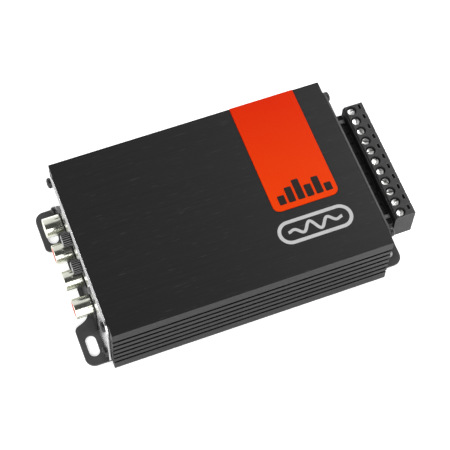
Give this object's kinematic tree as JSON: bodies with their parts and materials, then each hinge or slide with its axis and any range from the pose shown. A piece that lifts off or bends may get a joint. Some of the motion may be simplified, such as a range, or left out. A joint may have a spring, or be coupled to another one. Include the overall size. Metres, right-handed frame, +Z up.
{
  "type": "car amplifier",
  "caption": "Compact car audio amplifier in a finned black case with phono inputs, gain knobs, filter switches, a pluggable screw terminal and slotted mounting ears.",
  "frame": {"origin": "centre of the underside of the case", "axes": "+X along the length from the phono inputs to the screw terminals, +Y across the width to the edge that the inlay runs to, +Z up out of the flat top"},
  "size_m": [0.1436, 0.08, 0.0324],
  "materials": {
    "black_anodised": "satin black anodise, lightly brushed along the length",
    "black_powder_coat": "matte black powder coat",
    "satin_aluminium": "satin silver",
    "black_screw": "black zinc",
    "orange_acrylic": "gloss orange-red",
    "bright_nickel": "bright nickel plate",
    "white_plastic": "moulded, slightly warm white",
    "red_plastic": "moulded red",
    "black_nylon": "moulded black",
    "black_control": "moulded black",
    "grey_control": "moulded dark grey",
    "green_board": "green solder mask on glass laminate",
    "ferrite": "green coated powder core with enamelled winding",
    "capacitor_sleeve": "black sleeve on an aluminium can",
    "epoxy": "black moulding compound",
    "spring_steel": "plain steel",
    "silicone_pad": "soft grey pad"
  },
  "bodies": {
    "case": {"case_extrusion": "black_anodised", "base_plate": "black_powder_coat", "output_end_plate": "black_powder_coat", "input_end_plate": "satin_aluminium", "end_plate_screw_1": "black_screw", "end_plate_screw_2": "black_screw", "end_plate_screw_3": "black_screw", "end_plate_screw_4": "black_screw", "end_plate_screw_5": "black_screw", "end_plate_screw_6": "black_screw", "end_plate_screw_7": "black_screw", "end_plate_screw_8": "black_screw", "base_screw_1": "black_screw", "base_screw_2": "black_screw", "base_screw_3": "black_screw", "base_screw_4": "black_screw", "top_inlay": "orange_acrylic", "phono_jack_shell_1": "bright_nickel", "phono_jack_shell_2": "bright_nickel", "phono_jack_shell_3": "bright_nickel", "phono_jack_shell_4": "bright_nickel", "phono_jack_insert_1": "white_plastic", "phono_jack_insert_2": "red_plastic", "phono_jack_insert_3": "white_plastic", "phono_jack_insert_4": "red_plastic", "phono_jack_block": "black_nylon", "terminal_header": "black_nylon", "gain_pot_body_1": "black_control", "filter_switch_body_1": "black_control", "gain_pot_body_2": "black_control", "filter_switch_body_2": "black_control", "main_board": "green_board", "control_board": "green_board", "power_choke": "ferrite", "filter_capacitor_1": "capacitor_sleeve", "filter_capacitor_2": "capacitor_sleeve", "filter_capacitor_3": "capacitor_sleeve", "power_transistor_1": "epoxy", "power_transistor_2": "epoxy", "power_transistor_3": "epoxy", "power_transistor_4": "epoxy", "transistor_clamp_bar": "spring_steel", "thermal_pad": "silicone_pad"},
    "plug": {"terminal_plug": "black_nylon"},
    "clamp_screw_1": {"terminal_screw_1": "bright_nickel"},
    "clamp_screw_2": {"terminal_screw_2": "bright_nickel"},
    "clamp_screw_3": {"terminal_screw_3": "bright_nickel"},
    "clamp_screw_4": {"terminal_screw_4": "bright_nickel"},
    "clamp_screw_5": {"terminal_screw_5": "bright_nickel"},
    "clamp_screw_6": {"terminal_screw_6": "bright_nickel"},
    "clamp_screw_7": {"terminal_screw_7": "bright_nickel"},
    "clamp_screw_8": {"terminal_screw_8": "bright_nickel"},
    "clamp_screw_9": {"terminal_screw_9": "bright_nickel"},
    "clamp_screw_10": {"terminal_screw_10": "bright_nickel"},
    "clamp_screw_11": {"terminal_screw_11": "bright_nickel"},
    "knob_1": {"gain_knob_1": "black_control"},
    "knob_2": {"gain_knob_2": "black_control"},
    "lever_1": {"filter_switch_lever_1": "grey_control"},
    "lever_2": {"filter_switch_lever_2": "grey_control"}
  },
  "joints": [
    {"name": "plug_pull", "type": "slide", "parent": "case", "child": "plug", "axis": [1, 0, 0], "range_m": [0, 0.012]},
    {"name": "clamp_screw_turn_1", "type": "hinge", "parent": "plug", "child": "clamp_screw_1", "pos_m": [0.0689, 0.0254, 0.0234], "axis": [0, 0, 1], "range_deg": [0, 1260]},
    {"name": "clamp_screw_turn_2", "type": "hinge", "parent": "plug", "child": "clamp_screw_2", "pos_m": [0.0689, 0.02032, 0.0234], "axis": [0, 0, 1], "range_deg": [0, 1260]},
    {"name": "clamp_screw_turn_3", "type": "hinge", "parent": "plug", "child": "clamp_screw_3", "pos_m": [0.0689, 0.01524, 0.0234], "axis": [0, 0, 1], "range_deg": [0, 1260]},
    {"name": "clamp_screw_turn_4", "type": "hinge", "parent": "plug", "child": "clamp_screw_4", "pos_m": [0.0689, 0.01016, 0.0234], "axis": [0, 0, 1], "range_deg": [0, 1260]},
    {"name": "clamp_screw_turn_5", "type": "hinge", "parent": "plug", "child": "clamp_screw_5", "pos_m": [0.0689, 0.00508, 0.0234], "axis": [0, 0, 1], "range_deg": [0, 1260]},
    {"name": "clamp_screw_turn_6", "type": "hinge", "parent": "plug", "child": "clamp_screw_6", "pos_m": [0.0689, 0, 0.0234], "axis": [0, 0, 1], "range_deg": [0, 1260]},
    {"name": "clamp_screw_turn_7", "type": "hinge", "parent": "plug", "child": "clamp_screw_7", "pos_m": [0.0689, -0.00508, 0.0234], "axis": [0, 0, 1], "range_deg": [0, 1260]},
    {"name": "clamp_screw_turn_8", "type": "hinge", "parent": "plug", "child": "clamp_screw_8", "pos_m": [0.0689, -0.01016, 0.0234], "axis": [0, 0, 1], "range_deg": [0, 1260]},
    {"name": "clamp_screw_turn_9", "type": "hinge", "parent": "plug", "child": "clamp_screw_9", "pos_m": [0.0689, -0.01524, 0.0234], "axis": [0, 0, 1], "range_deg": [0, 1260]},
    {"name": "clamp_screw_turn_10", "type": "hinge", "parent": "plug", "child": "clamp_screw_10", "pos_m": [0.0689, -0.02032, 0.0234], "axis": [0, 0, 1], "range_deg": [0, 1260]},
    {"name": "clamp_screw_turn_11", "type": "hinge", "parent": "plug", "child": "clamp_screw_11", "pos_m": [0.0689, -0.0254, 0.0234], "axis": [0, 0, 1], "range_deg": [0, 1260]},
    {"name": "gain_turn_1", "type": "hinge", "parent": "case", "child": "knob_1", "pos_m": [-0.062, 0.0085, 0.026], "axis": [-1, 0, 0], "range_deg": [-140, 140]},
    {"name": "gain_turn_2", "type": "hinge", "parent": "case", "child": "knob_2", "pos_m": [-0.062, -0.0042, 0.026], "axis": [-1, 0, 0], "range_deg": [-140, 140]},
    {"name": "filter_slide_1", "type": "slide", "parent": "case", "child": "lever_1", "axis": [0, -1, 0], "range_m": [0, 0.0022]},
    {"name": "filter_slide_2", "type": "slide", "parent": "case", "child": "lever_2", "axis": [0, -1, 0], "range_m": [0, 0.0022]}
  ]
}
